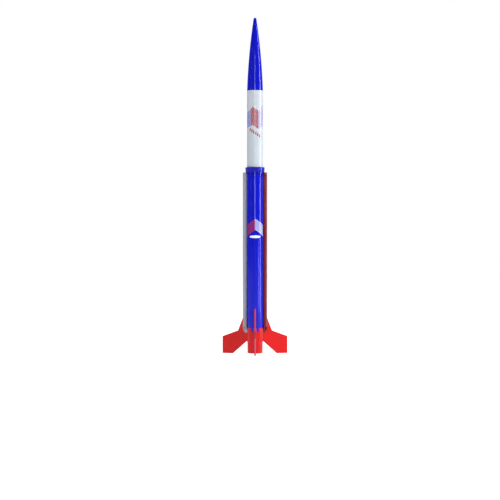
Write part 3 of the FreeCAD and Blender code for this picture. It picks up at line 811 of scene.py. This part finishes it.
def rolled_sheet(name, inner, outer, pitch, low, high, rows, shape, ruffle, seed):
    """A sheet rolled up in a spiral, with creases of random phase and lean.

    shape gives the roll's share of its full width, 0 to 1 up. The sheet's cut edges wave up and down.
    """
    rng = random.Random(seed)
    waves = [(count, rng.uniform(0, 6.3), rng.uniform(-1.5, 1.5)) for count in CREASE_COUNTS]
    turns = (outer - inner) / pitch
    columns = int(turns * ROLL_STEPS)
    vertices, faces = [], []
    for i in range(columns + 1):
        angle = 2 * math.pi * turns * i / columns
        radius = inner + (outer - inner) * i / columns
        edge = EDGE_WAVE * math.sin(angle * EDGE_WAVES_ROUND + radius * EDGE_WAVES_OUT)
        for j in range(rows + 1):
            up = j / rows
            creases = [math.sin(n * angle + phase + CREASE_TWIST * up * lean) for n, phase, lean in waves]
            crease = sum(creases) / len(creases)
            local = (radius + ruffle * crease * radius / outer) * shape(up)
            near_edge = abs(2 * up - 1) ** 6
            inward = -1 if up > 0.5 else 1
            z = low + (high - low) * up + edge * near_edge * inward
            vertices.append((local * math.cos(angle), local * math.sin(angle), z))
    for i in range(columns):
        for j in range(rows):
            a = i * (rows + 1) + j
            faces.append((a, a + rows + 1, a + rows + 2, a + 1))
    return smooth_object(name, vertices, faces)


# ================================================================ shock cord

def shock_cord_route():
    """Down from the card mount, through two layers of coil, and up the other side to the swivel."""
    outer_radius, inner_radius, wall_radius = 9.4, 7.1, 10.5
    outer_top, outer_foot = 274.6, 265.4
    inner_top, inner_foot = 274.4, 265.3
    whole_turns = 4
    mount = placed((0, 10.5, 331.2), (0.1, 10.5, 318), (0.5, 10.5, 304), (-0.3, 10.5, 292))
    entry, angle = turn_in(math.pi / 2, bend=7.0, high=281.6, first_radius=wall_radius,
                           last_radius=outer_radius)
    outer = helix(outer_radius * MM, outer_top * MM, outer_foot * MM, angle, whole_turns)
    across = half_turn(angle, outer_radius, inner_radius, height=265.35)
    angle += math.pi
    # The way out is a bend in at the back, mirrored to the front and run backwards.
    lift, mirrored = turn_in(math.pi / 2, bend=8.0, high=282.4, first_radius=wall_radius,
                             last_radius=inner_radius)
    leave = [Vector((point.x, -point.y, point.z)) for point in reversed(lift)]
    turns = whole_turns + (2 * math.pi - mirrored - angle) / (2 * math.pi)
    inner = helix(inner_radius * MM, inner_foot * MM, inner_top * MM, angle, turns)
    rise = placed((0.6, -10.5, 296), (-0.6, -10.5, 318), (0.4, -10.5, 341), (0, -10.5, 362),
                  (0.4, -7.95, 374), (0.9, -5.2, 380), (1.5, -2.3, 383.5))
    return [*mount, *entry, *outer[1:], *across, *inner, *leave[1:], *rise]


def make_shock_cord(surface):
    """One braided elastic from the card mount in the upper tube to the swivel in the nose."""
    thickness = 2.0 * MM
    line, length = resampled(shock_cord_route(), spacing=1.1 * MM)
    made = rope("shock_cord", line, thickness / 2, sides=10, twist=0.16)
    surface.paint(made)
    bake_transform(made)
    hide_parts("shock_cord_anchor_run", "shock_cord_coil", "shock_cord_nose_run")
    print("shock cord", round(length, 4))


# ================================================================ parachute and wadding

# The rolled canopy in millimetres: its ends, its radius, and the heights where it starts to narrow.
CANOPY_LOW = 279.6
CANOPY_HIGH = 355.0
CANOPY_RADIUS = 8.2
CANOPY_SHOULDER = 342
CANOPY_HEM = 283


def canopy_radius(z):
    """How wide the rolled canopy is at that height. Millimetres."""
    top_height, top_narrows = 14, 5.2
    hem_height, hem_narrows = 4, 2.5
    if z > CANOPY_SHOULDER:
        return CANOPY_RADIUS - (z - CANOPY_SHOULDER) / top_height * top_narrows
    if z < CANOPY_HEM:
        return CANOPY_RADIUS - (CANOPY_HEM - z) / hem_height * hem_narrows
    return CANOPY_RADIUS


def canopy_shape(up):
    """The canopy's share of its full width, 0 to 1 up."""
    return canopy_radius(CANOPY_LOW + (CANOPY_HIGH - CANOPY_LOW) * up) / CANOPY_RADIUS


def wad_shape(up):
    """The wadding's share of its full width, 0 to 1 up: rounded at both ends."""
    end_narrows = 0.3
    return 1 - end_narrows * (abs(2 * up - 1) ** 5)


def make_canopy(surface):
    """The film canopy, rolled up and tapered to its top."""
    canopy = rolled_sheet("rolled_parachute", inner=0.7 * MM, outer=7.35 * MM, pitch=0.176 * MM,
                          low=CANOPY_LOW * MM, high=CANOPY_HIGH * MM, rows=30, shape=canopy_shape,
                          ruffle=1.0 * MM, seed=4)
    surface.paint(canopy)
    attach(canopy, "parachute_pack")
    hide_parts("parachute")


def shroud_line_route(phase):
    """Out from the snap hook, down the roll's outside, and five turns round it."""
    hook_radius, hook_height = 0.5, 361.4
    clearance, wound_radius = 0.4, 8.58
    wound_top, wound_foot = 329, 305
    out = polar(1, phase, 0)
    route = [polar(hook_radius, phase, hook_height) * MM]
    for z in (358.5, 355.5, 350, 343, 338):
        route.append((out * (canopy_radius(z) + clearance) + Vector((0, 0, z))) * MM)
    entry, angle = turn_in(phase, bend=4.0, high=333.0, first_radius=CANOPY_RADIUS + clearance,
                           last_radius=wound_radius)
    wound = helix(wound_radius * MM, wound_top * MM, wound_foot * MM, angle, turns=5.0)
    return route + entry + wound[1:]


def make_shroud_lines(surface):
    """Six twisted threads from the snap hook."""
    count = 6
    thickness = 0.5 * MM
    for k in range(count):
        line, length = resampled(shroud_line_route(math.radians(360 * k / count)), spacing=0.8 * MM)
        strand = rope(f"shroud_line_{k + 1}", line, thickness / 2, sides=6, twist=0.25)
        surface.paint(strand)
        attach(strand, "parachute_pack")
        if k == 0:
            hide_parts("shroud_lines")
            print("shroud line", round(length, 4))


def make_wadding(surface):
    """Crumpled tissue squares in the lower tube, side by side and rolled together."""
    wad = rolled_sheet("crumpled_wadding", inner=0.8 * MM, outer=10.3 * MM, pitch=0.34 * MM, low=219 * MM,
                       high=257 * MM, rows=16, shape=wad_shape, ruffle=1.2 * MM, seed=9)
    surface.paint(wad)
    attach(wad, "airframe")
    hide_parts("recovery_wadding")


make_camera()
make_lights()
make_floor()
paint_cad()
make_upper_sticker([printed("ink_lavender", LAVENDER), printed("ink_crimson", SHADED_CRIMSON),
                    printed("ink_pale_lavender", PALE_LAVENDER)])
make_lower_sticker([printed("ink_red", SHADED_CRIMSON), printed("ink_white", INK_WHITE)])
make_shock_cord(woven("braided_elastic", ELASTIC_WHITE, grain=1400))
make_canopy(thin_film("yellow_film", YELLOW))
make_shroud_lines(woven("twisted_thread", THREAD_WHITE, grain=3200))
make_wadding(tissue("tissue", TISSUE_WHITE))
make_glue(moulded("glue_painted_shade", GLUE_SHADE_BLUE, rough=0.25))
make_root_fillets(moulded("red_fillet", RED, rough=0.1))
